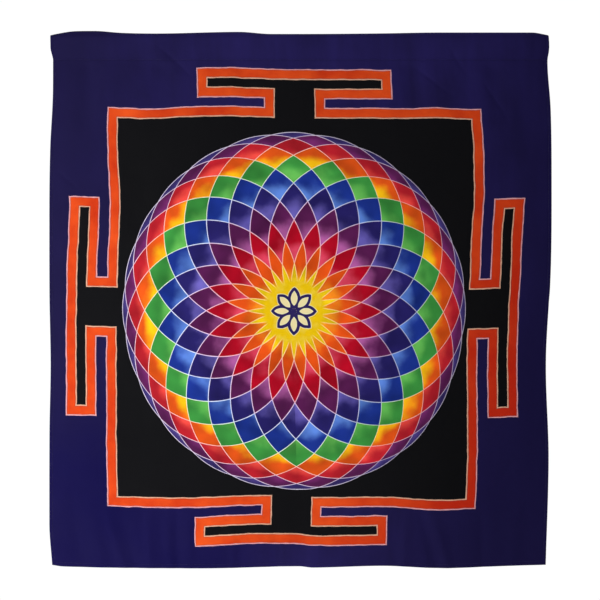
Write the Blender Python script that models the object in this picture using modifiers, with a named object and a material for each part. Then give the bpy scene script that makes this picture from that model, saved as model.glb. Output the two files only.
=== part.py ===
"""Batik wall hanging: a hand-dyed cloth panel with a rod sleeve along its top edge.

Metres, +Z up. The origin is the middle of the hanging rod's axis, +X runs along the rod
to the right, and the dyed face looks along -Y. Run it with
blender --background --python part.py, or from Blender's text editor.
"""

import math

import bmesh
import bpy
from mathutils import Matrix, Vector

# Driving dimensions
CLOTH_WIDTH = 1.070
CLOTH_HEIGHT = 1.150  # from the fold over the rod to the bottom edge
CLOTH_THICKNESS = 0.0005
ROD_DIAMETER = 0.012
ROD_INSET = 0.035  # the rod's end faces lie this far inside the sleeve's two mouths
ROD_CHAMFER = 0.0008
SLEEVE_DEPTH = 0.058  # from the fold over the rod to the sleeve's lower edge
SEAM_STRIP = 0.005  # height of the strip where the sleeve's two layers are sewn together
SIDE_HEM = 0.008
MOUTH_HEM = 0.008
BOTTOM_HEM = 0.010
HEM_LAYERS = 3  # a hem is folded twice
HEM_EDGE_RADIUS = 0.0003
THREAD_DIAMETER = 0.0006
STITCH_INSET = 0.0018  # from a hem's inner edge to its row of stitches
CLEARANCE = 0.0003  # between neighbouring solids

ARC_STEPS = 24
ROD_SIDES = 48

# Places that follow from them
SLEEVE_RADIUS = ROD_DIAMETER / 2 + CLEARANCE
TOP_FOLD_Z = SLEEVE_RADIUS + CLOTH_THICKNESS
SLEEVE_BOTTOM_Z = TOP_FOLD_Z - SLEEVE_DEPTH
SLEEVE_APEX_Z = SLEEVE_BOTTOM_Z + SEAM_STRIP
PANEL_TOP_Z = SLEEVE_BOTTOM_Z - CLEARANCE
CLOTH_BOTTOM_Z = TOP_FOLD_Z - CLOTH_HEIGHT
BOTTOM_HEM_TOP_Z = CLOTH_BOTTOM_Z + BOTTOM_HEM
PANEL_BOTTOM_Z = BOTTOM_HEM_TOP_Z + CLEARANCE
HALF_WIDTH = CLOTH_WIDTH / 2
HEM_THICKNESS = HEM_LAYERS * CLOTH_THICKNESS
FRONT_Y = -CLOTH_THICKNESS / 2
SWING_AXIS = Vector((0, -CLOTH_THICKNESS, SLEEVE_BOTTOM_Z))  # the sleeve's front lower edge

# Colours are linear RGB
INDIGO = (0.013, 0.010, 0.075)
BLACK = (0.010, 0.010, 0.012)
PINE = (0.56, 0.36, 0.18)
THREAD_BLUE = (0.020, 0.016, 0.100)


def clear_scene():
    for existing in list(bpy.data.objects):
        bpy.data.objects.remove(existing)


def new_collection(name):
    collection = bpy.data.collections.new(name)
    bpy.context.scene.collection.children.link(collection)
    return collection


def new_material(name, colour, roughness):
    material = bpy.data.materials.new(name)
    material.use_nodes = True
    shader = material.node_tree.nodes["Principled BSDF"]
    shader.inputs["Base Color"].default_value = (*colour, 1)
    shader.inputs["Roughness"].default_value = roughness
    shader.inputs["Metallic"].default_value = 0
    return material


def add_pivot(name, place, parent=None):
    """An empty on a joint's axis, which the pieces that move on that joint hang from."""
    pivot = bpy.data.objects.new(name, None)
    pivot.empty_display_size = 0.03
    parts.objects.link(pivot)
    attach(pivot, place, parent)
    return pivot


def attach(piece, place, parent):
    """Puts a piece at a place in the world, under a parent that is only ever moved, not turned."""
    piece.location = Vector(place)
    if parent:
        piece.parent = parent
        piece.location -= world_place(parent)


def world_place(piece):
    own = piece.location.copy()
    return own + world_place(piece.parent) if piece.parent else own


def add_part(name, data, material, place, parent=None):
    piece = bpy.data.objects.new(name, data)
    parts.objects.link(piece)
    data.materials.append(material)
    attach(piece, place, parent)
    return piece


def add_slab(name, low, high, material, parent, edge_radius=0.0):
    """A flat strip of cloth between two corners, with its edges rounded if it is a folded hem."""
    low, high = Vector(low), Vector(high)
    mesh = bpy.data.meshes.new(name)
    shape = bmesh.new()
    bmesh.ops.create_cube(shape, size=1.0)
    bmesh.ops.scale(shape, vec=high - low, verts=shape.verts)
    shape.to_mesh(mesh)
    shape.free()
    piece = add_part(name, mesh, material, (low + high) / 2, parent)
    if edge_radius:
        rounding = piece.modifiers.new("rounded_fold", "BEVEL")
        rounding.width = edge_radius
        rounding.segments = 2
    return piece


def add_rod(name, material):
    mesh = bpy.data.meshes.new(name)
    shape = bmesh.new()
    bmesh.ops.create_cone(
        shape,
        cap_ends=True,
        segments=ROD_SIDES,
        radius1=ROD_DIAMETER / 2,
        radius2=ROD_DIAMETER / 2,
        depth=CLOTH_WIDTH - 2 * ROD_INSET,
        matrix=Matrix.Rotation(math.pi / 2, 4, "Y"),
    )
    shape.to_mesh(mesh)
    shape.free()
    piece = add_part(name, mesh, material, (0, 0, 0))
    chamfer = piece.modifiers.new("end_chamfer", "BEVEL")
    chamfer.width = ROD_CHAMFER
    chamfer.segments = 1
    chamfer.limit_method = "ANGLE"
    mesh.shade_smooth()
    mesh.set_sharp_from_angle(angle=math.radians(30))
    return piece


def lean_of_walls():
    """Angle from vertical of the sleeve's two walls, which run from the rod to the seam."""
    return math.asin(SLEEVE_RADIUS / -SLEEVE_APEX_Z)


def arc_over_rod(radius, lean):
    """Points over the top of the rod, back to front, between the tangents of the two walls."""
    turn = math.pi + 2 * lean
    angles = [-lean + turn * step / ARC_STEPS for step in range(ARC_STEPS + 1)]
    return [(radius * math.cos(angle), radius * math.sin(angle)) for angle in angles]


def tunnel_outline():
    """(y, z) points of the space inside the sleeve: round over the rod, closing at the seam."""
    return arc_over_rod(SLEEVE_RADIUS, lean_of_walls()) + [(0.0, SLEEVE_APEX_Z)]


def sleeve_outline(layers=1):
    """(y, z) points round the outside of a sleeve wall of so many layers of cloth."""
    lean = lean_of_walls()
    wall = layers * CLOTH_THICKNESS
    radius = SLEEVE_RADIUS + wall
    run = (radius * math.cos(lean) - wall) / math.sin(lean)
    seam_z = -radius * math.sin(lean) - run * math.cos(lean)
    front_foot = [(-wall, seam_z), (-wall, SLEEVE_BOTTOM_Z)]
    back_foot = [(wall, SLEEVE_BOTTOM_Z), (wall, seam_z)]
    return arc_over_rod(radius, lean) + front_foot + back_foot


def add_tube(name, outlines, start_x, end_x, material, parent):
    """Closed (y, z) outlines, the first round the outside and the second round the hole, drawn out along X."""
    curve = bpy.data.curves.new(name, "CURVE")
    curve.dimensions = "2D"
    curve.fill_mode = "BOTH"
    curve.extrude = (end_x - start_x) / 2
    for outline in outlines:
        spline = curve.splines.new("POLY")
        spline.points.add(len(outline) - 1)
        spline.use_cyclic_u = True
        for point, (y, z) in zip(spline.points, outline, strict=True):
            point.co = (y, z, 0, 1)
    piece = add_part(name, curve, material, ((start_x + end_x) / 2, 0, 0), parent)
    # The drawing plane's X, Y and normal become the world's Y, Z and X.
    piece.rotation_euler = (math.pi / 2, 0, math.pi / 2)
    return piece


def add_thread(name, start, end, material, parent):
    """A row of stitches as one straight thread."""
    start, end = Vector(start), Vector(end)
    middle = (start + end) / 2
    curve = bpy.data.curves.new(name, "CURVE")
    curve.dimensions = "3D"
    curve.bevel_depth = THREAD_DIAMETER / 2
    curve.bevel_resolution = 2
    curve.use_fill_caps = True
    spline = curve.splines.new("POLY")
    spline.points.add(1)
    for point, place in zip(spline.points, (start, end), strict=True):
        point.co = (*(place - middle), 1)
    return add_part(name, curve, material, middle, parent)


def add_sleeve(parent):
    """The tunnel of cloth round the rod, with a hemmed mouth at each end."""
    cloth = new_material("sleeve_cloth", INDIGO, 0.6)
    wall_end = HALF_WIDTH - MOUTH_HEM - CLEARANCE
    add_tube("rod_sleeve", [sleeve_outline(), tunnel_outline()], -wall_end, wall_end, cloth, parent)
    for side, start_x, end_x in (
        ("left", -HALF_WIDTH, -HALF_WIDTH + MOUTH_HEM),
        ("right", HALF_WIDTH - MOUTH_HEM, HALF_WIDTH),
    ):
        hem = new_material(f"{side}_mouth_cloth", INDIGO, 0.6)
        outlines = [sleeve_outline(layers=2), tunnel_outline()]
        add_tube(f"{side}_sleeve_mouth", outlines, start_x, end_x, hem, parent)


def add_seam_thread(parent):
    thread = new_material("seam_thread", THREAD_BLUE, 0.5)
    front_y = -CLOTH_THICKNESS - CLEARANCE - THREAD_DIAMETER / 2
    stitch_z = SLEEVE_BOTTOM_Z + SEAM_STRIP / 2
    reach = HALF_WIDTH - MOUTH_HEM - 2 * CLEARANCE
    start, end = (-reach, front_y, stitch_z), (reach, front_y, stitch_z)
    add_thread("sleeve_seam_thread", start, end, thread, parent)


def add_panel(parent):
    cloth = new_material("panel_cloth", BLACK, 0.6)
    side = HALF_WIDTH - SIDE_HEM - CLEARANCE
    low = (-side, FRONT_Y, PANEL_BOTTOM_Z)
    high = (side, FRONT_Y + CLOTH_THICKNESS, PANEL_TOP_Z)
    add_slab("cloth_panel", low, high, cloth, parent)


def add_side_hem(side, sign, parent):
    """One side's hem, flush with the panel's front, and its row of stitches."""
    cloth = new_material(f"{side}_hem_cloth", INDIGO, 0.6)
    thread = new_material(f"{side}_hem_thread", THREAD_BLUE, 0.5)
    inner_x, outer_x = sorted((sign * (HALF_WIDTH - SIDE_HEM), sign * HALF_WIDTH))
    low = (inner_x, FRONT_Y, PANEL_BOTTOM_Z)
    high = (outer_x, FRONT_Y + HEM_THICKNESS, PANEL_TOP_Z)
    add_slab(f"{side}_hem", low, high, cloth, parent, HEM_EDGE_RADIUS)
    stitch_x = sign * (HALF_WIDTH - SIDE_HEM + STITCH_INSET)
    thread_y = FRONT_Y - CLEARANCE - THREAD_DIAMETER / 2
    top, bottom = PANEL_TOP_Z - STITCH_INSET, PANEL_BOTTOM_Z + STITCH_INSET
    ends = (stitch_x, thread_y, top), (stitch_x, thread_y, bottom)
    add_thread(f"{side}_hem_thread", *ends, thread, parent)


def add_bottom_hem(parent):
    """The bottom hem runs the full width, and the side hems end above it."""
    cloth = new_material("bottom_hem_cloth", INDIGO, 0.6)
    thread = new_material("bottom_hem_thread", THREAD_BLUE, 0.5)
    low = (-HALF_WIDTH, FRONT_Y, CLOTH_BOTTOM_Z)
    high = (HALF_WIDTH, FRONT_Y + HEM_THICKNESS, BOTTOM_HEM_TOP_Z)
    add_slab("bottom_hem", low, high, cloth, parent, HEM_EDGE_RADIUS)
    stitch_z = BOTTOM_HEM_TOP_Z - STITCH_INSET
    thread_y = FRONT_Y - CLEARANCE - THREAD_DIAMETER / 2
    reach = HALF_WIDTH - STITCH_INSET
    ends = (-reach, thread_y, stitch_z), (reach, thread_y, stitch_z)
    add_thread("bottom_hem_thread", *ends, thread, parent)


clear_scene()
parts = new_collection("batik_wall_hanging")
add_rod("hanging_rod", new_material("rod_wood", PINE, 0.55))
sleeve_pivot = add_pivot("sleeve_slide_axis", (0, 0, 0))
panel_pivot = add_pivot("panel_swing_axis", SWING_AXIS, sleeve_pivot)
add_sleeve(sleeve_pivot)
add_seam_thread(sleeve_pivot)
add_panel(panel_pivot)
add_side_hem("left", -1, panel_pivot)
add_side_hem("right", 1, panel_pivot)
add_bottom_hem(panel_pivot)
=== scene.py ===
"""Looks of a batik wall hanging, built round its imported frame.

Metres, +Z up, the dyed front looks along -Y. The cloth is made as the real one is: a flat
cut is folded into hems and a rod sleeve, then bent by the wrinkles it hangs with. Its
pattern is worked out on the flat cut, so that it follows every fold.
"""

import math

import bmesh
import bpy
import numpy as np
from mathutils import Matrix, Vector, noise


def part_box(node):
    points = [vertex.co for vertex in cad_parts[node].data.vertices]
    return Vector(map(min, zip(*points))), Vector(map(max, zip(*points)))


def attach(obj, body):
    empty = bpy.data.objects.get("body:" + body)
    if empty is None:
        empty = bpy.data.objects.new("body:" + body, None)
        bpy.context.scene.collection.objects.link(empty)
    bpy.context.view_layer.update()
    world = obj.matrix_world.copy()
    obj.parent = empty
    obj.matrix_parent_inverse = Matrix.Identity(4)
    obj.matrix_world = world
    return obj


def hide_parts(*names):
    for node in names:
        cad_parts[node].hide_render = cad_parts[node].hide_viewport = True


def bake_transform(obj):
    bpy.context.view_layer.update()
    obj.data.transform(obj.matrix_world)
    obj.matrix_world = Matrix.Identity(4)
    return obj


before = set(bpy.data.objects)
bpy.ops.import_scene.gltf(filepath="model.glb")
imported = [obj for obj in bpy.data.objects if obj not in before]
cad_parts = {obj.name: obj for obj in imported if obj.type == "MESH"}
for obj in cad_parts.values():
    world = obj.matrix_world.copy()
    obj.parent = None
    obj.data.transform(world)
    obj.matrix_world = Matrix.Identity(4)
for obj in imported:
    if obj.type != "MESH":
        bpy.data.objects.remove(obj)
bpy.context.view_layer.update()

# Sizes taken from the frame
sleeve_low, sleeve_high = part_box("rod_sleeve")
rod_low, rod_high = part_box("hanging_rod")
bottom_hem_low, bottom_hem_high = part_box("bottom_hem")
side_hem_low, side_hem_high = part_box("left_hem")
seam_thread_low, seam_thread_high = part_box("sleeve_seam_thread")
bottom_thread_low, bottom_thread_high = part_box("bottom_hem_thread")
right_thread_low, right_thread_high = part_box("right_hem_thread")
HALF_WIDTH = bottom_hem_high.x
TOP_Z = sleeve_high.z
SEAM_BOTTOM_Z = sleeve_low.z
BOTTOM_Z = bottom_hem_low.z
HEIGHT = TOP_Z - BOTTOM_Z
ROD_RADIUS = (rod_high.z - rod_low.z) / 2
SIDE_HEM = side_hem_high.x - side_hem_low.x
BOTTOM_HEM = bottom_hem_high.z - bottom_hem_low.z
SEAM_STITCH_Z = (seam_thread_low.z + seam_thread_high.z) / 2
BOTTOM_STITCH_Z = (bottom_thread_low.z + bottom_thread_high.z) / 2
SIDE_STITCH_X = (right_thread_low.x + right_thread_high.x) / 2

# The cloth
THICKNESS = 0.0003
THREAD_PITCH = 0.00075  # of the weave
HEM_FOLD = 0.0005  # radius of the fold at a hem's edge
CURL = 0.00035  # radius of the turned-in edge of a hem
TURN_UNDER = 0.006  # of the sleeve's end, tucked in between the two layers of its seam
SEAM_GAP = 0.0004  # between the layers that the seam holds together
SEAM_STRIP = 0.0045  # the layers lie together for this far above the sleeve's lower end
LOOP_RADIUS = ROD_RADIUS + 0.0005  # of the cloth's middle surface where it lies over the rod
GRID_ACROSS = 0.0054  # spacing of the grid where the cloth is flat, and closer at hems and seams
GRID_DOWN = 0.0084
SEAM_GRID = 0.0022
LAP_GRID = 0.0030
SLEEVE_GRID = 0.0060
HEM_GRID = 0.0017
FINE_BY_HEM = 0.002  # how far the fine grid goes on past a hem
FINE_BY_SEAM = 0.026  # and below the sleeve's seam, where the cloth bends
SEAM_CORNER_ROOM = 2.5  # how much wider the seam's lap is where it takes in a side hem
HEM_CORNER_ROOM = 1.4  # and the bottom hem's fold
TIGHT_FOLD = 0.4  # a side hem's fold where it lies inside another one

# The band and the mandala, on the flat cut, where depth is the distance below the sleeve's top
PATTERN_DEPTH = 0.5896  # of the band's middle
PATTERN_X = -0.0135
LEAN = -0.0065  # the pattern's middle line moves left by this share of the depth
TAPER = -0.018  # the pattern gets narrower by this share per metre of depth
MAIN_HALF = (0.3895, 0.4195)  # half the width and half the height of the black field
STEM_HALF = (0.0540, 0.0535)  # half the thickness of its upright arms, and of its level ones
BAR_MIDDLE = (0.4550, 0.4815)  # how far the bars across the arms' ends are from the middle, in x and in depth
BAR_HALF = (0.0212, 0.0207)  # half the thickness of the upright bars, and of the level ones
BAR_REACH = (0.1985, 0.2248)  # half the length of the level bars, and of the upright ones
BAND_HALF = 0.0103  # from the band's middle to the middle of its wax outline
WAX_LINE = 0.0024  # width of the outline
UNSTEADINESS = 0.0036  # how far the hand that drew the band strayed, quick strokes only
MANDALA_DEPTH = 0.5972
MANDALA_X = -0.0107
MANDALA_LEAN = 0.015  # sideways, by this share of the depth
MANDALA_TILT = 0.006  # downwards, by this share of x
MANDALA_SPREAD = 0.046  # how far the inner rings are drawn outwards of true circles
MANDALA_RADIUS = (0.3680, 0.3857)  # across and down
CIRCLES = 24
STEP = 2 * math.pi / CIRCLES
STAR_RADIUS = 0.175  # the wax lines end here, as a share of the mandala's radius
SUN_EDGE = (0.194, 0.158)  # the yellow fades in between these
CIRCLE_LINE = 0.0024  # half the width of the circles' wax lines, as a share of the mandala's radius
RIM_THINNING = 0.0006  # how much of that they lose towards the rim

# The flower in the sun
PETALS = 8
PETAL_LENGTH = 0.0190  # half of it, and half its width
PETAL_WIDTH = 0.0096
PETAL_MIDDLE = 0.0262  # from the flower's middle
PETAL_STROKE = 0.0029  # half of the stroke's width
CORE_RADIUS = 0.0052


def linear(red, green, blue):
    """A colour given as 0 to 255 display values, as the shader's linear numbers."""
    return tuple(
        value / 12.92 if value <= 0.04045 else ((value + 0.055) / 1.055) ** 2.4
        for value in (red / 255, green / 255, blue / 255)
    )


# Each ring's dye at the outer tips of its cells and at their inner tips, from the rim inwards
RING_DYES = [
    (linear(10, 10, 12), linear(10, 10, 12)),
    (linear(52, 42, 100), linear(74, 60, 126)),
    (linear(86, 28, 78), linear(118, 42, 106)),
    (linear(182, 30, 42), linear(240, 76, 66)),
    (linear(220, 82, 20), linear(254, 196, 18)),
    (linear(56, 140, 60), linear(100, 184, 84)),
    (linear(24, 48, 136), linear(92, 134, 218)),
    (linear(36, 30, 98), linear(104, 94, 180)),
    (linear(84, 25, 76), linear(178, 92, 160)),
    (linear(172, 5, 32), linear(228, 74, 102)),
    (linear(226, 80, 18), linear(242, 146, 28)),
    (linear(238, 198, 14), linear(236, 194, 14)),
    (linear(236, 194, 12), linear(238, 204, 40)),
]
RING_LINES = [
    linear(226, 216, 238),
    linear(220, 210, 236),
    linear(236, 204, 230),
    linear(252, 196, 206),
    linear(255, 216, 190),
    linear(236, 248, 208),
    linear(218, 236, 255),
    linear(224, 216, 255),
    linear(252, 200, 232),
    linear(255, 178, 188),
    linear(255, 208, 150),
    linear(255, 220, 120),
    linear(252, 216, 90),
]
INDIGO_DEEP = linear(23, 18, 58)
INDIGO_LIGHT = linear(38, 31, 92)
# Painted shade: the indigo at the lower right
INDIGO_SHADED = linear(21, 16, 59)
INDIGO_RICH = linear(13, 8, 65)
BLACK_DYE = linear(12, 12, 15)
# Painted shade: the black at the lower right
BLACK_SHADED = linear(6, 6, 8)
BAND_DEEP = linear(196, 46, 14)
BAND_LIGHT = linear(238, 87, 30)
# Painted shade: the band at the lower right
BAND_SHADED = linear(178, 22, 12)
BAND_EDGE = linear(112, 62, 60)
WAX_OUTER = linear(226, 166, 172)
WAX_INNER = linear(226, 176, 148)
SUN_YELLOW = linear(240, 198, 8)
SUN_PALE = linear(246, 222, 96)
EMBLEM_NAVY = linear(44, 34, 92)
EMBLEM_PALE = linear(240, 232, 190)
SPECK = linear(190, 180, 176)
THREAD_DEEP = linear(28, 22, 66)
# Also the painted highlight on the ridges of the thread's twist
THREAD_PALE_AND_HIGHLIGHT = linear(52, 44, 112)
PINE_EARLY = linear(222, 182, 128)
PINE_LATE = linear(176, 122, 70)


# Where the band was drawn off its true course: sideways against depth, and downwards against x
DRAWN_LEFT = [
    (0.185, -0.0010), (0.272, 0.0030), (0.369, 0.0090), (0.430, 0.0070), (0.487, 0.0040),
    (0.573, 0.0020), (0.700, -0.0016), (0.800, 0.0000), (0.896, 0.0010), (0.987, 0.0040),
]
DRAWN_RIGHT = [
    (0.185, -0.0070), (0.250, -0.0015), (0.350, 0.0000), (0.440, -0.0040), (0.550, -0.0043),
    (0.660, 0.0000), (0.760, 0.0018), (0.850, 0.0000), (0.987, -0.0025),
]
DRAWN_TOP = [
    (-0.470, -0.0040), (-0.400, -0.0010), (-0.330, 0.0020), (-0.250, -0.0030), (-0.160, -0.0050),
    (-0.090, -0.0020), (-0.020, 0.0000), (0.150, 0.0000), (0.220, 0.0010), (0.280, -0.0020),
    (0.360, 0.0020), (0.460, 0.0000),
]
DRAWN_BOTTOM = [
    (-0.470, -0.0040), (-0.380, -0.0020), (-0.240, 0.0010), (-0.170, -0.0015), (-0.090, -0.0040),
    (0.000, -0.0010), (0.100, 0.0015), (0.200, 0.0025), (0.280, 0.0060), (0.360, 0.0040),
    (0.460, 0.0000),
]


def smoothstep(low, high, values):
    """0 at low and below, 1 at high and above, and smooth between."""
    share = np.clip((np.asarray(values, float) - low) / (high - low), 0, 1)
    return share * share * (3 - 2 * share)


def through(points, values):
    """A smooth line through a few (place, height) points that never swings past them, read at many places."""
    places, heights = np.array(points, float).T
    values = np.clip(np.asarray(values, float), places[0], places[-1])
    rises = np.diff(heights) / np.diff(places)
    between = np.where(rises[1:] * rises[:-1] > 0, (rises[1:] + rises[:-1]) / 2, 0)
    steepest = 3 * np.minimum(abs(rises[1:]), abs(rises[:-1]))
    slopes = np.concatenate([[rises[0]], np.clip(between, -steepest, steepest), [rises[-1]]])
    span = np.clip(np.searchsorted(places, values, side="right") - 1, 0, len(places) - 2)
    width = places[span + 1] - places[span]
    t = (values - places[span]) / width
    start = (2 * t**3 - 3 * t**2 + 1) * heights[span] + (t**3 - 2 * t**2 + t) * width * slopes[span]
    end = (3 * t**2 - 2 * t**3) * heights[span + 1] + (t**3 - t**2) * width * slopes[span + 1]
    return start + end


# How far the hung cloth's side edges stand outwards of the straight cut, against depth, and how far its top
# and bottom edges stand above it, against x
LEFT_EDGE = [
    (0.000, 0.0012), (0.030, 0.0012), (0.056, -0.0038), (0.120, -0.0036), (0.250, 0.0024),
    (0.420, 0.0040), (0.570, 0.0036), (0.715, 0.0012), (0.860, 0.0036), (1.060, 0.0040),
    (1.150, -0.0020),
]
RIGHT_EDGE = [
    (0.000, 0.0005), (0.030, 0.0026), (0.058, -0.0006), (0.160, 0.0062), (0.315, 0.0082),
    (0.545, 0.0046), (0.580, 0.0020), (0.715, -0.0042), (0.915, 0.0020), (1.150, -0.0044),
]
TOP_EDGE = [
    (-0.535, -0.0024), (-0.520, 0.0010), (-0.480, 0.0066), (-0.440, 0.0070), (-0.385, 0.0030),
    (-0.310, 0.0014), (-0.130, 0.0050), (-0.060, 0.0004), (0.000, 0.0004), (0.170, 0.0016),
    (0.300, 0.0036), (0.500, 0.0036), (0.535, -0.0022),
]
BOTTOM_EDGE = [
    (-0.535, 0.0060), (-0.510, 0.0026), (-0.215, -0.0010), (0.000, 0.0030), (0.030, 0.0002),
    (0.185, 0.0044), (0.310, -0.0006), (0.470, 0.0044), (0.535, 0.0062),
]
SWELL_HEIGHT = 0.0032  # of the broad waves over the whole cloth
SWELL_SIZE = 0.32
RIPPLE_HEIGHT = 0.0006
RIPPLE_SIZE = 0.09
# Soft folds above the bottom hem: x at the hem, lean, depths where it starts and where it is full, width,
# height towards the wall
FOLDS = [
    (-0.470, 0.10, 0.97, 1.10, 0.016, 0.0009),
    (-0.425, 0.15, 0.98, 1.10, 0.014, -0.0007),
    (-0.380, 0.25, 0.99, 1.07, 0.011, -0.0012),
    (-0.354, 0.20, 1.00, 1.08, 0.011, 0.0009),
    (-0.322, 0.00, 1.00, 1.08, 0.010, -0.0010),
    (-0.292, 0.05, 1.01, 1.07, 0.010, 0.0007),
    (-0.262, 0.00, 1.00, 1.07, 0.010, 0.0012),
    (-0.236, 0.00, 1.01, 1.08, 0.010, -0.0006),
    (-0.142, 0.00, 1.02, 1.08, 0.009, -0.0009),
    (-0.045, 0.03, 1.03, 1.09, 0.012, 0.0010),
    (0.030, -0.04, 1.03, 1.10, 0.014, -0.0009),
    (0.227, -0.05, 1.00, 1.08, 0.012, -0.0011),
    (0.298, 0.30, 0.99, 1.07, 0.011, 0.0014),
    (0.324, 0.30, 1.00, 1.08, 0.011, -0.0014),
    (0.398, 0.05, 0.99, 1.07, 0.012, 0.0012),
    (0.462, -0.05, 0.98, 1.09, 0.016, -0.0010),
]
CREASE_HALF_WIDTH = 0.0075
CREASE_DIP_WIDTH = 0.013  # of the soft dip that the cloth makes round a crease
# Creases left from folding the cloth away: x and depth of each end, and how deep the crease is
CREASES = [
    (-0.313, 0.016, -0.226, 0.102, 0.00050),
    (0.241, 0.066, 0.334, 0.140, 0.00045),
    (0.317, 0.020, 0.361, 0.090, 0.00040),
    (0.389, 0.094, 0.450, 0.196, 0.00045),
    (-0.524, 0.292, -0.470, 0.336, 0.00036),
    (-0.476, 0.200, -0.440, 0.176, 0.00024),
    (0.420, 0.640, 0.500, 0.700, 0.00028),
    (0.470, 0.905, 0.420, 0.980, 0.00024),
]
PUCKER_HEIGHT = 0.0016
# Puckers below the sleeve's seam: x and width
SLEEVE_PUCKERS = [
    (-0.46, 0.020), (-0.30, 0.030), (-0.12, 0.024), (0.05, 0.030), (0.24, 0.026), (0.42, 0.024),
]


def lumps(places, size, seed):
    """Smooth noise of about that size at each place, roughly -1 to 1."""
    shift = Vector((seed * 7.3, seed * 3.1, seed * 5.7))
    return np.array([noise.noise(Vector(place) / size + shift) for place in places])


def crease_places(x, depth):
    """For each crease: how far along it and how far aside of it each place is, its length and its depth."""
    for start_x, start_depth, end_x, end_depth, dip in CREASES:
        length = math.hypot(end_x - start_x, end_depth - start_depth)
        across, down = (end_x - start_x) / length, (end_depth - start_depth) / length
        along = (x - start_x) * across + (depth - start_depth) * down
        aside = abs((x - start_x) * -down + (depth - start_depth) * across)
        yield along, aside, length, dip


def wrinkles(x, z):
    """How far the hung cloth stands behind its flat plane at each x and z, or in front of it if negative."""
    depth = TOP_Z - z
    places = np.column_stack([x, np.zeros_like(x), z])
    swells = SWELL_HEIGHT * lumps(places * (1.5, 1, 0.8), SWELL_SIZE, seed=1)
    ripples = RIPPLE_HEIGHT * lumps(places * (1.5, 1, 0.7), RIPPLE_SIZE, seed=2)
    y = (swells + ripples) * smoothstep(0.055, 0.30, depth)
    for hem_x, lean, start, full, width, height in FOLDS:
        middle = hem_x - lean * (HEIGHT - depth)
        y += height * smoothstep(start, full, depth) * np.exp(-(((x - middle) / width) ** 2))
    below_seam = smoothstep(0.054, 0.075, depth) * (1 - smoothstep(0.09, 0.24, depth))
    for pucker_x, width in SLEEVE_PUCKERS:
        y += PUCKER_HEIGHT * below_seam * np.exp(-(((x - pucker_x) / width) ** 2))
    for along, aside, length, dip in crease_places(x, depth):
        fade = smoothstep(0, length * 0.3, along) * (1 - smoothstep(length * 0.6, length, along))
        y += dip * fade * (1 - smoothstep(0, CREASE_DIP_WIDTH, aside))
    return y


def hung(points):
    """Moves points of the folded, flat-hanging cloth to where the wrinkled cloth has them."""
    points = np.array(points, float)
    x, _, z = points.T
    depth = TOP_Z - z
    across = (x + HALF_WIDTH) / (2 * HALF_WIDTH)
    sideways = -through(LEFT_EDGE, depth) * (1 - across) + through(RIGHT_EDGE, depth) * across
    ride_up = through(TOP_EDGE, x) * (1 - smoothstep(0, TOP_Z, depth))
    hang = through(BOTTOM_EDGE, x) * smoothstep(0.75, HEIGHT, depth)
    forward = wrinkles(x, z)
    return points + np.column_stack([sideways, forward, ride_up + hang])


def arc(centre, radius, start, end, steps):
    """Points on an arc in a plane, from the start angle to the end angle, in radians."""
    angles = np.linspace(start, end, steps + 1)
    return [(centre[0] + radius * math.cos(a), centre[1] + radius * math.sin(a)) for a in angles]


def run(start, end, spacing):
    """Points from one place to another, about so far apart."""
    start, end = np.array(start, float), np.array(end, float)
    steps = max(1, round(float(np.linalg.norm(end - start)) / spacing))
    return [tuple(start + (end - start) * step / steps) for step in range(steps + 1)]


def joined(*pieces):
    """Stretches of a path as one, with the points that two of them share kept once."""
    path = []
    for piece in pieces:
        for point in piece:
            if not path or math.dist(point, path[-1]) > 1e-6:
                path.append(point)
    return np.array(path)


def hem_path():
    """(outwards, behind) points of a side hem, from the flat cloth round the edge to its turned-in end."""
    edge = HALF_WIDTH - HEM_FOLD
    inner = HALF_WIDTH - SIDE_HEM
    return joined(
        run((inner - FINE_BY_HEM, 0), (edge, 0), HEM_GRID),
        arc((edge, HEM_FOLD), HEM_FOLD, -math.pi / 2, math.pi / 2, 5),
        run((edge, 2 * HEM_FOLD), (inner + CURL, 2 * HEM_FOLD), HEM_GRID),
        arc((inner + CURL, 2 * HEM_FOLD - CURL), CURL, math.pi / 2, math.pi, 2),
    )


def length_path():
    """(y, z) points along the cloth, from the bottom hem's turned-in end to the sleeve's tucked end."""
    hem_top = BOTTOM_Z + BOTTOM_HEM
    fold_z = BOTTOM_Z + HEM_FOLD
    strip_z = SEAM_BOTTOM_Z + SEAM_STRIP
    lean = math.asin(LOOP_RADIUS / -strip_z)
    back_y = 2 * SEAM_GAP
    front = (-LOOP_RADIUS * math.cos(lean), -LOOP_RADIUS * math.sin(lean))
    back = (LOOP_RADIUS * math.cos(lean), -LOOP_RADIUS * math.sin(lean))
    lap_z = SEAM_BOTTOM_Z + SEAM_GAP / 2
    above_hem = (0, hem_top + FINE_BY_HEM)
    below_seam = (0, SEAM_BOTTOM_Z - FINE_BY_SEAM)
    return joined(
        arc((2 * HEM_FOLD - CURL, hem_top - CURL), CURL, math.pi / 2, 0, 2),
        run((2 * HEM_FOLD, hem_top - CURL), (2 * HEM_FOLD, fold_z), HEM_GRID),
        arc((HEM_FOLD, fold_z), HEM_FOLD, 0, -math.pi, 5),
        run((0, fold_z), above_hem, HEM_GRID),
        run(above_hem, below_seam, GRID_DOWN),
        run(below_seam, (0, strip_z), SEAM_GRID),
        run((0, strip_z), front, SLEEVE_GRID),
        arc((0, 0), LOOP_RADIUS, math.pi + lean, -lean, 14),
        run(back, (back_y, strip_z), SLEEVE_GRID),
        run((back_y, strip_z), (back_y, lap_z), SEAM_GRID),
        arc((1.5 * SEAM_GAP, lap_z), SEAM_GAP / 2, 0, -math.pi, 4),
        run((SEAM_GAP, lap_z), (SEAM_GAP, lap_z + TURN_UNDER), LAP_GRID),
    )


def lengths_along(path):
    """How far along the path each of its points is."""
    return np.concatenate([[0], np.cumsum(np.linalg.norm(np.diff(path, axis=0), axis=1))])


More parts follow.
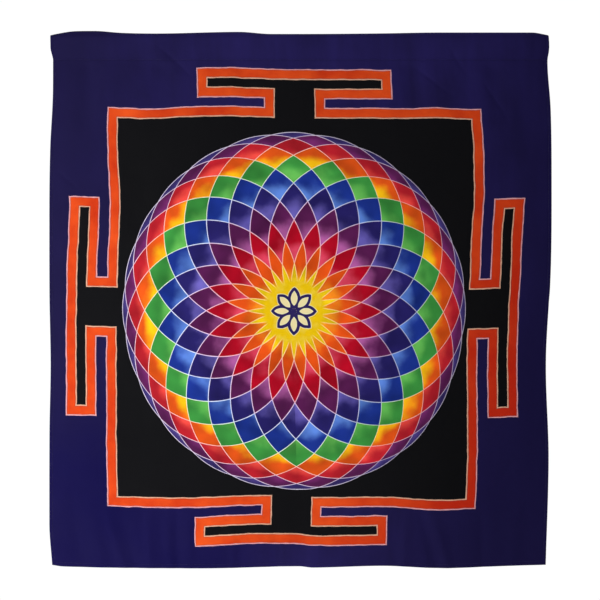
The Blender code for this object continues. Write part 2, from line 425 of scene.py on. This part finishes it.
def columns():
    """Each column of the grid as (x, behind, flat x), from the left hem's inner end to the right one's."""
    hem = hem_path()
    flat = hem[0, 0] + lengths_along(hem)
    right = np.column_stack([hem, flat])
    left = right[::-1] * (-1, 1, -1)
    middle = np.array(run((left[-1, 0], 0), (right[0, 0], 0), GRID_ACROSS))[1:-1]
    middle = np.column_stack([middle[:, 0], np.zeros(len(middle)), middle[:, 0]])
    return np.vstack([left, middle, right])


def rows():
    """Each row of the grid as (y, z, normal y, normal z, flat depth), its normal towards the wrong side."""
    path = length_path()
    along = np.gradient(path, axis=0)
    along /= np.linalg.norm(along, axis=1)[:, None]
    lengths = lengths_along(path)
    front = np.flatnonzero(path[:, 0] == 0)[-1]
    depth = TOP_Z - path[front, 1] + lengths[front] - lengths
    return np.column_stack([path, along[:, 1], -along[:, 0], depth])


def folded_cloth():
    """(points, flat places, columns) of the cloth's middle surface, folded but hanging flat."""
    across, down = columns(), rows()
    x = np.tile(across[:, 0], len(down))
    behind = np.tile(across[:, 1], len(down))
    y, z, normal_y, normal_z, depth = (np.repeat(column, len(across)) for column in down.T)
    in_side_hem = smoothstep(HALF_WIDTH - SIDE_HEM - 0.004, HALF_WIDTH - SIDE_HEM + 0.001, abs(x))
    at_bottom_hem = 1 - smoothstep(BOTTOM_Z + BOTTOM_HEM, BOTTOM_Z + BOTTOM_HEM + 0.004, z)
    at_seam = 1 - smoothstep(SEAM_BOTTOM_Z + 0.004, SEAM_BOTTOM_Z + 0.030, z)
    lapped = (y > 0) * np.where(depth < 0, at_seam, at_bottom_hem)
    room = np.where(depth < 0, SEAM_CORNER_ROOM, HEM_CORNER_ROOM)
    y = y * (1 + room * in_side_hem * lapped)
    behind = behind * (1 - (1 - TIGHT_FOLD) * lapped)
    points = np.column_stack([x, y + normal_y * behind, z + normal_z * behind])
    flat = np.column_stack([np.tile(across[:, 2], len(down)), depth])
    return points, flat, len(across)


def drawn_places(flat):
    """The flat places as the band's drawing has them, off by what the hand was off."""
    x, depth = flat.T
    across = (x + HALF_WIDTH) / (2 * HALF_WIDTH)
    down = depth / HEIGHT
    sideways = through(DRAWN_LEFT, depth) * (1 - across) + through(DRAWN_RIGHT, depth) * across
    downwards = through(DRAWN_TOP, x) * (1 - down) + through(DRAWN_BOTTOM, x) * down
    return np.column_stack([x - sideways, depth - downwards])


def grid_faces(row_count, column_count):
    """The four-sided faces between the points of a grid, which are numbered row by row."""
    corner = np.arange(row_count - 1)[:, None] * column_count + np.arange(column_count - 1)
    corner = corner.reshape(-1)
    return np.column_stack([corner, corner + 1, corner + column_count + 1, corner + column_count])


def new_mesh_object(name, points, faces):
    mesh = bpy.data.meshes.new(name)
    mesh.from_pydata([tuple(p) for p in points], [], [tuple(int(i) for i in f) for f in faces])
    mesh.update()
    piece = bpy.data.objects.new(name, mesh)
    bpy.context.scene.collection.objects.link(piece)
    return piece


def add_map(mesh, name, places):
    """A UV map that gives each vertex's place on the flat cut."""
    layer = mesh.uv_layers.new(name=name)
    corner_vertex = np.empty(len(mesh.loops), int)
    mesh.loops.foreach_get("vertex_index", corner_vertex)
    layer.data.foreach_set("uv", places[corner_vertex].astype(np.float32).reshape(-1))


def apply_modifiers(piece):
    """Makes the piece's modifiers part of its mesh."""
    evaluated = piece.evaluated_get(bpy.context.evaluated_depsgraph_get())
    mesh = bpy.data.meshes.new_from_object(evaluated)
    piece.modifiers.clear()
    old, piece.data = piece.data, mesh
    bpy.data.meshes.remove(old)


def make_cloth():
    """(the cloth, the two sides of its flat cut)"""
    points, flat, column_count = folded_cloth()
    faces = grid_faces(len(points) // column_count, column_count)
    cloth = new_mesh_object("batik_cloth", hung(points), faces)
    add_map(cloth.data, "cut", flat)
    add_map(cloth.data, "drawn", drawn_places(flat))
    low, high = flat.min(0), flat.max(0)
    share = (flat - low) / (high - low)
    add_map(cloth.data, "OFBake", np.column_stack([share[:, 0], 1 - share[:, 1]]))
    solid = cloth.modifiers.new("thickness", "SOLIDIFY")
    solid.thickness = THICKNESS
    solid.offset = 0
    apply_modifiers(cloth)
    cloth.data.shade_smooth()
    return cloth, tuple(high - low)


# ---------------------------------------------------------------- stitches

STITCH_LENGTH = 0.0029
STITCH_PITCH = 0.0034
STITCH_RADIUS = 0.00022
STITCH_SIDES = 6
STITCH_SINK = 0.45  # how far a stitch's middle is pressed into the cloth, as a share of its radius
STITCH_STRAY = 0.00006  # standard deviation of a stitch's place
STITCH_TURN = 0.03  # and of its direction, in radians
# Share of the half length, share of the radius, and lift in radii of each ring of points
STITCH_RINGS = [(-1, 0.35, -0.9), (-0.72, 0.95, 0.0), (0, 1.0, 0.15), (0.72, 0.95, 0.0), (1, 0.35, -0.9)]


def stitch_shape():
    """One stitch along +X as (points, faces): a short thread whose two ends dip into the cloth."""
    points = []
    for share, girth, lift in STITCH_RINGS:
        for side in range(STITCH_SIDES):
            angle = 2 * math.pi * side / STITCH_SIDES
            radius = STITCH_RADIUS * girth
            height = radius * math.sin(angle) + STITCH_RADIUS * lift
            points.append((share * STITCH_LENGTH / 2, radius * math.cos(angle), height))
    faces = []
    for ring in range(len(STITCH_RINGS) - 1):
        for side in range(STITCH_SIDES):
            this = ring * STITCH_SIDES + side
            other = ring * STITCH_SIDES + (side + 1) % STITCH_SIDES
            faces.append((this, other, other + STITCH_SIDES, this + STITCH_SIDES))
    last = (len(STITCH_RINGS) - 1) * STITCH_SIDES
    faces.append(tuple(reversed(range(STITCH_SIDES))))
    faces.append(tuple(range(last, last + STITCH_SIDES)))
    return np.array(points), faces


def make_stitches(name, start, end, surfaces, seed):
    """A row of stitches between two (x, z) places, on the cloth's front and again on its back."""
    shape, shape_faces = stitch_shape()
    draw = np.random.default_rng(seed)
    start, end = np.array(start, float), np.array(end, float)
    length = float(np.linalg.norm(end - start))
    direction = (end - start) / length
    sideways = np.array([-direction[1], direction[0]])
    count = int(length / STITCH_PITCH)
    points, faces = [], []
    for outward, surface_y in zip((-1, 1), surfaces):
        for number in range(count):
            middle = start + direction * (number + 0.5) * length / count
            middle = middle + draw.normal(0, STITCH_STRAY, 2)
            turn = draw.normal(0, STITCH_TURN)
            along = direction * math.cos(turn) + sideways * math.sin(turn)
            aside = np.array([-along[1], along[0]])
            place = middle + shape[:, :1] * along + shape[:, 1:2] * aside
            y = surface_y + outward * (shape[:, 2] + STITCH_RADIUS * (1 - STITCH_SINK))
            base = len(points) * len(shape)
            points.append(np.column_stack([place[:, 0], y, place[:, 1]]))
            faces += [tuple(base + i for i in face[::-outward]) for face in shape_faces]
    piece = new_mesh_object(name, hung(np.vstack(points)), faces)
    piece.data.shade_smooth()
    return piece


# ---------------------------------------------------------------- shader arithmetic


class Field:
    """A number that varies over a surface: an output of shader nodes that takes ordinary arithmetic."""

    def __init__(self, tree, socket):
        self.tree = tree
        self.socket = socket

    def maths(self, operation, *others):
        node = self.tree.nodes.new("ShaderNodeMath")
        node.operation = operation
        for entry, value in zip(node.inputs, (self, *others)):
            plug(self.tree, value, entry)
        return Field(self.tree, node.outputs[0])

    def __add__(self, other):
        return self.maths("ADD", other)

    def __sub__(self, other):
        return self.maths("SUBTRACT", other)

    def __mul__(self, other):
        return self.maths("MULTIPLY", other)

    def __truediv__(self, other):
        return self.maths("DIVIDE", other)

    def __abs__(self):
        return self.maths("ABSOLUTE")

    def floor(self):
        return self.maths("FLOOR")

    def rounded(self):
        return self.maths("ROUND")

    def fraction(self):
        return self.maths("FRACT")

    def least(self, other):
        return self.maths("MINIMUM", other)

    def most(self, other):
        return self.maths("MAXIMUM", other)

    def step(self, low, high):
        """0 below low, 1 above high, and smooth between."""
        node = self.tree.nodes.new("ShaderNodeMapRange")
        node.interpolation_type = "SMOOTHSTEP"
        for name, value in (("Value", self), ("From Min", low), ("From Max", high)):
            plug(self.tree, value, node.inputs[name])
        return Field(self.tree, node.outputs["Result"])


def plug(tree, value, entry):
    """Feeds an input from a Field, or sets it to a plain number or colour."""
    if isinstance(value, Field):
        tree.links.new(value.socket, entry)
    elif isinstance(value, tuple):
        entry.default_value = (*value, 1)
    else:
        entry.default_value = value


def mixed(share, first, second):
    """The first colour where share is 0 and the second where it is 1."""
    tree = share.tree
    node = tree.nodes.new("ShaderNodeMix")
    node.data_type = "RGBA"
    plug(tree, share, node.inputs["Factor"])
    plug(tree, first, node.inputs["A"])
    plug(tree, second, node.inputs["B"])
    return Field(tree, node.outputs["Result"])


def vector(x, y, z=0.0):
    """The socket of a vector with these three parts."""
    tree = x.tree
    node = tree.nodes.new("ShaderNodeCombineXYZ")
    for entry, value in zip(node.inputs, (x, y, z)):
        plug(tree, value, entry)
    return node.outputs[0]


NOISE_SHIFT = 3.7  # from one seed's slice of the noise to the next one's


def clouds(x, y, seed, detail=2.0):
    """Three Fields of smooth noise, each about -0.5 to 0.5, whose lumps are about 1 wide in x and y."""
    tree = x.tree
    node = tree.nodes.new("ShaderNodeTexNoise")
    node.inputs["Scale"].default_value = 1
    node.inputs["Detail"].default_value = detail
    tree.links.new(vector(x, y, seed * NOISE_SHIFT), node.inputs["Vector"])
    parts = tree.nodes.new("ShaderNodeSeparateColor")
    tree.links.new(node.outputs["Color"], parts.inputs[0])
    return [Field(tree, out) - 0.5 for out in parts.outputs]


def random_of(x, y, seed):
    """A different number from 0 to 1 for each pair of whole numbers."""
    tree = x.tree
    node = tree.nodes.new("ShaderNodeTexWhiteNoise")
    node.noise_dimensions = "3D"
    tree.links.new(vector(x, y, float(seed)), node.inputs["Vector"])
    return Field(tree, node.outputs["Value"])


def by_ring(ring, colours):
    """The colour of each whole ring number."""
    tree = ring.tree
    node = tree.nodes.new("ShaderNodeValToRGB")
    node.color_ramp.interpolation = "CONSTANT"
    stops = node.color_ramp.elements
    while len(stops) > 1:
        stops.remove(stops[-1])
    count = len(colours)
    for number, colour in enumerate(colours):
        stop = stops[0] if number == 0 else stops.new(number / count)
        stop.position = number / count
        stop.color = (*colour, 1)
    plug(tree, (ring + 0.5) / count, node.inputs["Fac"])
    return Field(tree, node.outputs["Color"])


def new_material(name):
    """(material, node tree, Principled shader)"""
    material = bpy.data.materials.new(name)
    material.use_nodes = True
    tree = material.node_tree
    return material, tree, tree.nodes["Principled BSDF"]


def add_bump(tree, shader, height, distance, strength=1.0):
    bump = tree.nodes.new("ShaderNodeBump")
    bump.inputs["Strength"].default_value = strength
    bump.inputs["Distance"].default_value = distance
    plug(tree, height, bump.inputs["Height"])
    tree.links.new(bump.outputs[0], shader.inputs["Normal"])


# ---------------------------------------------------------------- materials

SPECK_SPACING = 0.085  # between the places where a drip of wax may be
PLY_PITCH = 0.00045  # of the sewing thread's twist
RING_PITCH = 0.0021  # of the rod's growth rings
HEART = (-0.011, 0.004)  # y and z of the middle of the tree that the rod was cut from


def places_on(tree, name):
    """x and depth on the cloth, in metres, from one of its maps."""
    source = tree.nodes.new("ShaderNodeUVMap")
    source.uv_map = name
    parts = tree.nodes.new("ShaderNodeSeparateXYZ")
    tree.links.new(source.outputs[0], parts.inputs[0])
    return Field(tree, parts.outputs[0]), Field(tree, parts.outputs[1])


def hand_drawn(x, depth):
    """The coordinates with the unsteadiness of a line drawn in wax by hand."""
    quick = clouds(x / 0.030, depth / 0.030, seed=2, detail=1.0)
    return x + quick[0] * UNSTEADINESS, depth + quick[1] * UNSTEADINESS


def beyond_box(x, z, half_x, half_z):
    """How far a place is outside a box round the origin, negative inside."""
    return (x - half_x).most(z - half_z)


def beyond_region(x, depth):
    """How far a place is outside the black field and its four T-shaped arms, negative inside."""
    below = depth - PATTERN_DEPTH
    x = x - PATTERN_X - below * LEAN
    x = abs(x / (below * TAPER + 1))
    z = abs(below)
    region = beyond_box(x, z, *MAIN_HALF)
    region = region.least(beyond_box(x, z, STEM_HALF[0], BAR_MIDDLE[1] + BAR_HALF[1]))
    region = region.least(beyond_box(x, z, BAR_MIDDLE[0] + BAR_HALF[0], STEM_HALF[1]))
    upright = beyond_box(abs(x - BAR_MIDDLE[0]), z, BAR_HALF[0], BAR_REACH[1])
    level = beyond_box(x, abs(z - BAR_MIDDLE[1]), BAR_REACH[0], BAR_HALF[1])
    return region.least(upright).least(level)


def painted_shade_lower_right(x, depth):
    """Painted shade on the border and the band: darker towards the lower right corner, away from the light.
    """
    return (x * 1.5 + depth * 0.5).step(0.45, 1.25)


def ground_dye(x, depth, outside):
    """Indigo round the band and black within it, each a little uneven, and both darker towards the lower
    right with painted shade.
    """
    blotches = clouds(x / 0.16, depth / 0.16, seed=3, detail=3.0)
    streaks = clouds(x / 0.035, depth / 0.30, seed=4, detail=3.0)
    indigo = mixed(blotches[0] * 1.2 + streaks[0] * 0.9 + 0.5, INDIGO_DEEP, INDIGO_LIGHT)
    # Painted shade: the indigo darkens towards the lower right
    indigo = mixed(painted_shade_lower_right(x, depth), indigo, INDIGO_SHADED)
    indigo = mixed((x * -1).step(0.28, 0.46) * 0.75, indigo, INDIGO_DEEP)
    lower_left = (x * -1).step(0.00, 0.22) * depth.step(0.66, 0.95)
    indigo = mixed(lower_left * (blotches[1] * 0.8 + 0.80), indigo, INDIGO_RICH)
    # Painted shade: the black darkens towards the lower right
    black = mixed(painted_shade_lower_right(x, depth), BLACK_DYE, BLACK_SHADED)
    return mixed(outside.step(-0.0006, 0.0006), black, indigo)


def with_band(x, depth, outside, colour):
    """Adds the orange band, with dye pooled along its edges and a wax outline on both sides."""
    from_middle = abs(outside)
    unevenness = clouds(x / 0.06, depth / 0.06, seed=5, detail=3.0)
    orange = mixed(unevenness[0] * 1.6 + 0.5, BAND_DEEP, BAND_LIGHT)
    # Painted shade: the band darkens towards the lower right
    orange = mixed(painted_shade_lower_right(x, depth) * 0.9, orange, BAND_SHADED)
    colour = mixed(from_middle.step(BAND_HALF, BAND_HALF - 0.0004), colour, orange)
    worn = clouds(x / 0.012, depth / 0.012, seed=6)
    pooled_at = BAND_HALF - WAX_LINE * 0.72
    pooled = abs(from_middle - pooled_at).step(0.0009, 0.0002)
    colour = mixed(pooled * 0.55, colour, BAND_EDGE)
    width = worn[0] * 0.0012 + WAX_LINE / 2
    off_line = abs(from_middle - BAND_HALF) - width
    wax = mixed(outside.step(-0.001, 0.001), WAX_INNER, WAX_OUTER)
    return mixed(off_line.step(0.0004, -0.0004) * (worn[1] * 0.5 + 0.86), colour, wax)


def mandala_places(x, depth):
    """x, z and radius on the mandala, in mandala radii, with +z up."""
    below = depth - MANDALA_DEPTH
    z = (x - MANDALA_X) * MANDALA_TILT - below
    x = x - MANDALA_X - below * MANDALA_LEAN
    x, z = x / MANDALA_RADIUS[0], z / MANDALA_RADIUS[1]
    spread = ((x * x + z * z).maths("SQRT").least(1.0) - 1.0) * MANDALA_SPREAD + 1.0
    x, z = x * spread, z * spread
    return x, z, (x * x + z * z).maths("SQRT")


def off_circle(x, z, number):
    """How far a place is from the line of one of the circles, in mandala radii."""
    angle = number * STEP
    circle_x, circle_z = angle.maths("SINE") * 0.5, angle.maths("COSINE") * 0.5
    across, up = x - circle_x, z - circle_z
    return abs((across * across + up * up).maths("SQRT") - 0.5)


def with_mandala(x, z, radius, colour):
    """Adds circles that all pass through one middle point, and dyes the rings of cells between them."""
    opening = radius.least(1.0).maths("ARCCOSINE") / STEP
    turn = x.maths("ARCTAN2", z) / STEP
    first, second = turn + opening, turn - opening
    ring = first.floor() - second.floor()
    inward = first.fraction() - second.fraction()
    cell = random_of(first.floor(), second.floor(), seed=8) - 0.5
    wash = clouds(x * 11, z * 11, seed=9, detail=0.6)
    fine = clouds(x * 38, z * 38, seed=10, detail=1.0)
    paler = (inward + wash[0] * 1.4 + cell * 0.40 + fine[0] * 0.22).step(-0.10, 1.02)
    at_outer_tip = by_ring(ring, [outer for outer, _ in RING_DYES])
    at_inner_tip = by_ring(ring, [inner for _, inner in RING_DYES])
    dye = scaled(mixed(paler, at_outer_tip, at_inner_tip), wash[1] * 0.9 + cell * 0.26 + 1.0)
    inside = ring.step(0.2, 0.4)
    colour = mixed(inside, colour, dye)
    in_sun = (radius + wash[2] * 0.04).step(*SUN_EDGE)
    colour = mixed(inside * in_sun, colour, sun_dye(x, z, radius))
    line = off_circle(x, z, first.rounded()).least(off_circle(x, z, second.rounded()))
    half_line = radius.step(0.55, 1.0) * -RIM_THINNING + CIRCLE_LINE + fine[1] * 0.0010
    past_star = radius.step(STAR_RADIUS - 0.02, STAR_RADIUS + 0.012)
    drawn = (line - half_line).step(0.0008, -0.0008) * past_star
    # The wax lines of the circles are drawn fainter towards the right
    fainter_to_right = x.step(0.0, 0.55) * -0.38 + 1.0
    return mixed(drawn * (wash[2] * 0.4 + 0.92) * fainter_to_right, colour, by_ring(ring, RING_LINES))


def scaled(colour, share):
    """A colour made lighter or darker."""
    tree = colour.tree
    node = tree.nodes.new("ShaderNodeVectorMath")
    node.operation = "SCALE"
    tree.links.new(colour.socket, node.inputs[0])
    plug(tree, share, node.inputs["Scale"])
    return Field(tree, node.outputs[0])


def sun_dye(x, z, radius):
    """Yellow, brushed on in patches, and paler near the emblem."""
    patches = clouds(x * 22, z * 22, seed=11, detail=3.0)
    pale = patches[0] * 1.6 + radius.step(0.15, 0.05) * 0.40
    return mixed(pale, SUN_YELLOW, SUN_PALE)


def with_emblem(x, z, radius, colour):
    """Adds a small eight-petalled flower in the sun: navy strokes with a pale outline."""
    x, z = x * MANDALA_RADIUS[0], z * MANDALA_RADIUS[1]
    reach = radius * (MANDALA_RADIUS[0] + MANDALA_RADIUS[1]) * 0.5
    unsteady = clouds(x / 0.018, z / 0.018, seed=12)
    turn = x.maths("ARCTAN2", z) * (PETALS / (2 * math.pi))
    off_petal = abs(turn.fraction() - 0.5) * (-2 * math.pi / PETALS) + math.pi / PETALS
    along = reach * off_petal.maths("COSINE") + unsteady[0] * 0.0030
    across = reach * off_petal.maths("SINE") + unsteady[1] * 0.0020
    bend = (PETAL_LENGTH**2 + PETAL_WIDTH**2) / (2 * PETAL_WIDTH)  # radius of a petal's two sides
    out, side = along - PETAL_MIDDLE, across + (bend - PETAL_WIDTH)
    petal = (out * out + side * side).maths("SQRT") - bend
    stroke = abs(petal) - PETAL_STROKE + unsteady[2] * 0.0010
    mark = stroke.least(reach - CORE_RADIUS)
    colour = mixed((mark - 0.0014).step(0.0007, -0.0007) * 0.85, colour, EMBLEM_PALE)
    colour = mixed(petal.step(0.0002, -0.0010) * 0.75, colour, EMBLEM_PALE)
    return mixed(mark.step(0.0005, -0.0003), colour, EMBLEM_NAVY)


def with_specks(x, depth, colour):
    """Adds a few pale dots where wax dripped."""
    tree = x.tree
    node = tree.nodes.new("ShaderNodeTexVoronoi")
    node.inputs["Scale"].default_value = 1
    tree.links.new(vector(x / SPECK_SPACING, depth / SPECK_SPACING, 1.3), node.inputs["Vector"])
    parts = tree.nodes.new("ShaderNodeSeparateColor")
    tree.links.new(node.outputs["Color"], parts.inputs[0])
    rare = Field(tree, parts.outputs[0]).step(0.92, 0.94)
    size = Field(tree, parts.outputs[1]) * 0.008 + 0.008
    dot = (Field(tree, node.outputs["Distance"]) - size).step(0.003, -0.003)
    return mixed(dot * rare * 0.75, colour, SPECK)


def crease_height(x, depth):
    """Height in metres of the sharp middles of the creases."""
    total = x * 0
    for along, aside, length, dip in crease_places(x, depth):
        fade = along.step(0, length * 0.3) * along.step(length, length * 0.6)
        total = total + aside.step(CREASE_HALF_WIDTH, 0) * fade * (dip * -0.7)
    return total


def waves(x, depth, length):
    """Waves of that length in both directions, from -1 to 1."""
    turns = 2 * math.pi / length
    return (x * turns).maths("SINE") * (depth * turns).maths("SINE")


def weave(x, depth):
    """Height in metres of the threads, of their thick and thin places, and of fine crumpling."""
    threads = waves(x, depth, THREAD_PITCH)
    across = clouds(x / 0.030, depth / 0.0012, seed=13, detail=3.0)
    down = clouds(x / 0.0012, depth / 0.030, seed=14, detail=3.0)
    crumple = clouds(x / 0.020, depth / 0.026, seed=15, detail=3.0)
    return threads * 0.00002 + across[0] * 0.00007 + down[0] * 0.00007 + crumple[0] * 0.00060


def by_stitches(x, depth):
    """1 on the rows of stitches and 0 from 2 mm away."""
    side = abs(abs(x) - SIDE_STITCH_X)
    bottom = abs(depth - (TOP_Z - BOTTOM_STITCH_Z))
    seam = abs(depth - (TOP_Z - SEAM_STITCH_Z))
    return side.least(bottom).least(seam).step(0.0022, 0.0003)


def batik_material():
    """Rayon dyed through with the whole pattern, with a faint lustre and the relief of its threads."""
    material, tree, shader = new_material("batik_rayon")
    x, depth = places_on(tree, "cut")
    outside = beyond_region(*hand_drawn(*places_on(tree, "drawn")))
    colour = ground_dye(x, depth, outside)
    colour = with_band(x, depth, outside, colour)
    mandala_x, mandala_z, radius = mandala_places(x, depth)
    colour = with_mandala(mandala_x, mandala_z, radius, colour)
    colour = with_emblem(mandala_x, mandala_z, radius, colour)
    colour = with_specks(x, depth, colour)
    stitched = by_stitches(x, depth)
    # Painted shade: the cloth is darkened a little along the rows of stitches, where the seams dimple
    colour = scaled(colour, stitched * -0.06 + 1.0)
    tree.links.new(colour.socket, shader.inputs["Base Color"])
    polish = clouds(x / 0.05, depth / 0.05, seed=16, detail=3.0)
    plug(tree, polish[0] * 0.25 + 0.68, shader.inputs["Roughness"])
    shader.inputs["Specular IOR Level"].default_value = 0.06
    shader.inputs["Sheen Weight"].default_value = 0.005
    shader.inputs["Sheen Roughness"].default_value = 0.4
    drawn_in = stitched * (waves(x, depth, 2 * STITCH_PITCH) * 0.0001 - 0.00015)
    height = weave(x, depth) + crease_height(x, depth) + drawn_in
    add_bump(tree, shader, height, 1.0, 0.9)
    return material


def thread_material():
    """Navy sewing thread, with the twist of its plies, and a painted highlight along the ridges of the twist.
    """
    material, tree, shader = new_material("navy_thread")
    source = tree.nodes.new("ShaderNodeTexCoord")
    parts = tree.nodes.new("ShaderNodeSeparateXYZ")
    tree.links.new(source.outputs["Object"], parts.inputs[0])
    x, z = Field(tree, parts.outputs[0]), Field(tree, parts.outputs[2])
    ply = ((x + z) * (2 * math.pi / PLY_PITCH)).maths("SINE") * 0.5 + 0.5
    fade = clouds(x / 0.02, z / 0.02, seed=17)
    # Painted highlight: the thread is paler along the ridges of its twist, and a little uneven
    colour = mixed(ply * 0.6 + fade[0], THREAD_DEEP, THREAD_PALE_AND_HIGHLIGHT)
    tree.links.new(colour.socket, shader.inputs["Base Color"])
    plug(tree, ply * 0.2 + 0.42, shader.inputs["Roughness"])
    shader.inputs["Specular IOR Level"].default_value = 0.3
    add_bump(tree, shader, ply, 0.00006)
    return material


def wood_material():
    """A sanded pine dowel: long grain along X, with the growth rings on its ends."""
    material, tree, shader = new_material("pine_dowel")
    source = tree.nodes.new("ShaderNodeTexCoord")
    parts = tree.nodes.new("ShaderNodeSeparateXYZ")
    tree.links.new(source.outputs["Object"], parts.inputs[0])
    x, y, z = (Field(tree, out) for out in parts.outputs)
    bend = clouds(x / 0.22, z / 0.02, seed=18)
    off_heart, up = y - HEART[0] + bend[0] * 0.004, z - HEART[1]
    rings = (off_heart * off_heart + up * up).maths("SQRT") / RING_PITCH
    late = (rings + bend[1] * 0.8).fraction().step(0.35, 0.95)
    pores = clouds(x / 0.012, (y + z * 1.7) / 0.0007, seed=19, detail=3.0)
    colour = mixed(late, PINE_EARLY, PINE_LATE)
    colour = scaled(colour, pores[0] * 0.35 + 1.0)
    tree.links.new(colour.socket, shader.inputs["Base Color"])
    plug(tree, pores[1] * 0.3 + late * -0.1 + 0.58, shader.inputs["Roughness"])
    add_bump(tree, shader, pores[0] + late * 0.3, 0.00012)
    return material


# ---------------------------------------------------------------- the studio

PICTURE_WIDTH = 1.293  # of the view, at the cloth
CAMERA_X = 0.001
VIEW_DEPTH = 0.573  # of the middle of the view, below the top fold
LENS_MM = 90.0
SENSOR_MM = 36.0
FLOOR_RADIUS = 1.85
FLOOR_BELOW = 0.50  # the cloth's bottom edge


def make_camera():
    """Straight on, from as far away as the lens needs for the picture's width."""
    data = bpy.data.cameras.new("camera")
    data.lens = LENS_MM
    data.sensor_width = SENSOR_MM
    camera = bpy.data.objects.new("camera", data)
    bpy.context.scene.collection.objects.link(camera)
    distance = PICTURE_WIDTH / 2 / (SENSOR_MM / 2 / LENS_MM)
    camera.location = (CAMERA_X, -distance, TOP_Z - VIEW_DEPTH)
    camera.rotation_euler = (math.pi / 2, 0, 0)
    bpy.context.scene.camera = camera


def add_area_light(name, place, target, size, watts):
    """A rectangular light that faces its target."""
    data = bpy.data.lights.new(name, "AREA")
    data.shape = "RECTANGLE"
    data.size, data.size_y = size
    data.energy = watts
    light = bpy.data.objects.new(name, data)
    bpy.context.scene.collection.objects.link(light)
    light.location = place
    light.rotation_euler = (Vector(target) - Vector(place)).to_track_quat("-Z", "Y").to_euler()


def make_world():
    """A white studio: the camera sees it bright, and it lights the cloth only softly."""
    world = bpy.data.worlds.new("studio")
    bpy.context.scene.world = world
    world.use_nodes = True
    tree = world.node_tree
    tree.nodes["Background"].inputs["Color"].default_value = (1, 1, 1, 1)
    path = tree.nodes.new("ShaderNodeLightPath")
    seen = Field(tree, path.outputs["Is Camera Ray"])
    plug(tree, seen * 0.90 + 0.12, tree.nodes["Background"].inputs["Strength"])


def make_floor():
    """A round pale floor that fades into the white of the studio towards its rim."""
    mesh = bpy.data.meshes.new("studio_floor")
    disc = bmesh.new()
    bmesh.ops.create_circle(disc, cap_ends=True, segments=96, radius=FLOOR_RADIUS)
    disc.to_mesh(mesh)
    disc.free()
    floor = bpy.data.objects.new("studio_floor", mesh)
    bpy.context.scene.collection.objects.link(floor)
    floor.location.z = BOTTOM_Z - FLOOR_BELOW
    material, tree, shader = new_material("pale_floor")
    shader.inputs["Base Color"].default_value = (0.86, 0.86, 0.85, 1)
    shader.inputs["Roughness"].default_value = 0.8
    source = tree.nodes.new("ShaderNodeTexCoord")
    parts = tree.nodes.new("ShaderNodeSeparateXYZ")
    tree.links.new(source.outputs["Object"], parts.inputs[0])
    x, y = Field(tree, parts.outputs[0]), Field(tree, parts.outputs[1])
    out = (x * x + y * y).maths("SQRT")
    white = tree.nodes.new("ShaderNodeEmission")
    fade = tree.nodes.new("ShaderNodeMixShader")
    plug(tree, out.step(0.45 * FLOOR_RADIUS, 0.97 * FLOOR_RADIUS), fade.inputs[0])
    tree.links.new(shader.outputs[0], fade.inputs[1])
    tree.links.new(white.outputs[0], fade.inputs[2])
    tree.links.new(fade.outputs[0], tree.nodes["Material Output"].inputs["Surface"])
    floor.data.materials.append(material)


def make_studio():
    """The camera, a white room, and lights in front, behind and above for every side and pose."""
    bpy.context.scene.view_settings.view_transform = "Standard"
    make_camera()
    make_world()
    make_floor()
    middle = (0, 0, TOP_Z - HEIGHT / 2)
    add_area_light("key", place=(-1.9, -1.2, -0.95), target=middle, size=(1.0, 1.5), watts=58)
    add_area_light("fill", place=(-0.9, -3.3, -0.2), target=middle, size=(1.8, 1.8), watts=16)
    add_area_light("back", place=(0.9, 2.4, 0.3), target=middle, size=(1.8, 1.8), watts=42)
    add_area_light("top", place=(0, 0.15, 2.4), target=(0, 0.15, 0), size=(1.6, 0.8), watts=34)


# ---------------------------------------------------------------- the object

STITCH_START = 0.002  # the side hems' stitches start this far above the bottom hem
STITCH_END = 0.004  # a row of stitches stops this far from the cloth's edge, or from the sleeve's seam


def make_all_stitches():
    """Each row of stitches by name, with its thread."""
    front = -THICKNESS / 2
    at_seam = (front, 2 * SEAM_GAP + THICKNESS / 2)
    at_hem = (front, 2 * HEM_FOLD + THICKNESS / 2)
    end_x = HALF_WIDTH - STITCH_END
    top_z = SEAM_BOTTOM_Z - STITCH_END
    low_z = BOTTOM_Z + BOTTOM_HEM + STITCH_START
    rows_to_sew = [
        ("sleeve_seam_stitches", (-end_x, SEAM_STITCH_Z), (end_x, SEAM_STITCH_Z), at_seam),
        ("left_hem_stitches", (-SIDE_STITCH_X, low_z), (-SIDE_STITCH_X, top_z), at_hem),
        ("right_hem_stitches", (SIDE_STITCH_X, low_z), (SIDE_STITCH_X, top_z), at_hem),
        ("bottom_hem_stitches", (-end_x, BOTTOM_STITCH_Z), (end_x, BOTTOM_STITCH_Z), at_hem),
    ]
    thread = thread_material()
    stitches = {}
    for seed, (name, start, end, surfaces) in enumerate(rows_to_sew, 1):
        stitches[name] = make_stitches(name, start, end, surfaces, seed)
        stitches[name].data.materials.append(thread)
    return stitches


def place_on_bodies(cloth, stitches):
    """Keeps the cloth and its side hems' stitches in place with their transforms baked in, and puts the
    sleeve's seam stitches on the sleeve's body and the bottom hem's stitches on the panel's body.
    """
    for piece in (cloth, stitches["left_hem_stitches"], stitches["right_hem_stitches"]):
        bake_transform(piece)
    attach(stitches["sleeve_seam_stitches"], "sleeve")
    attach(stitches["bottom_hem_stitches"], "panel")


def match_to_cad():
    """Hides the CAD nodes that the cloth and the stitches stand in for."""
    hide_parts("rod_sleeve", "left_sleeve_mouth", "right_sleeve_mouth", "cloth_panel")
    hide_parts("left_hem", "right_hem", "bottom_hem")
    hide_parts("sleeve_seam_thread")
    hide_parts("left_hem_thread")
    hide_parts("right_hem_thread")
    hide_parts("bottom_hem_thread")


make_studio()
cloth, cut_size = make_cloth()
cloth.data.materials.append(batik_material())
stitches = make_all_stitches()
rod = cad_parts["hanging_rod"]
rod.data.materials.clear()
rod.data.materials.append(wood_material())
place_on_bodies(cloth, stitches)
match_to_cad()
